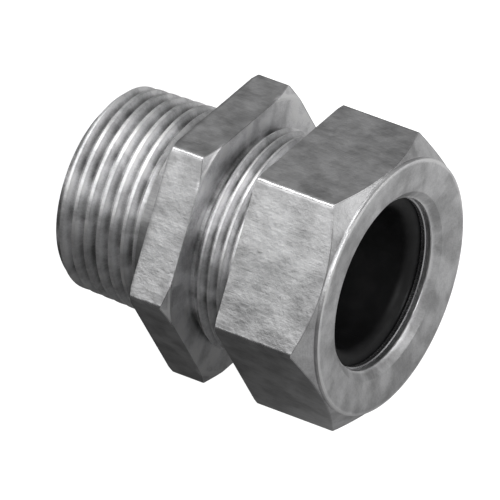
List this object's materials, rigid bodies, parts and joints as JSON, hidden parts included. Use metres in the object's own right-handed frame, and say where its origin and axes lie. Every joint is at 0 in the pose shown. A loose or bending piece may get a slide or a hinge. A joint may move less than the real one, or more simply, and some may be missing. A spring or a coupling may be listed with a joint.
{
  "type": "straight cord and conduit compression connector",
  "caption": "Straight compression connector: tapered male thread, thin body hexagon, exposed gland thread and chamfered hexagonal nut that squeezes a rubber bushing onto a cord.",
  "frame": {"origin": "on the connector's axis, in the plane of the body hexagon's back face, the face that comes up against an enclosure", "axes": "+X along the axis toward the nut's cord opening, the male thread toward -X, +Z square to a pair of hexagon flats, +Y through a hexagon corner"},
  "size_m": [0.041, 0.0382, 0.0334],
  "materials": {
    "hub_metal": "satin, turned threads and drawn hexagon flats",
    "nut_metal": "satin, drawn flats and turned front face",
    "washer_steel": "bright stamped",
    "bushing_rubber": "matte moulded"
  },
  "bodies": {
    "hub": {"hub_body": "hub_metal", "sealing_bushing": "bushing_rubber"},
    "washer": {"friction_washer": "washer_steel"},
    "nut": {"compression_nut": "nut_metal"}
  },
  "joints": [
    {"name": "nut_travel", "type": "slide", "parent": "hub", "child": "washer", "axis": [1, 0, 0], "range_m": [-0.00423, 0.00141], "deforming": ["sealing_bushing"]},
    {"name": "nut_turn", "type": "hinge", "parent": "washer", "child": "nut", "pos_m": [0.019, 0, 0], "axis": [1, 0, 0], "range_deg": [-1080, 360]}
  ],
  "couplings": [
    {"joint": "nut_travel", "follows": "nut_turn", "m_per_rad": 0.00022459}
  ]
}
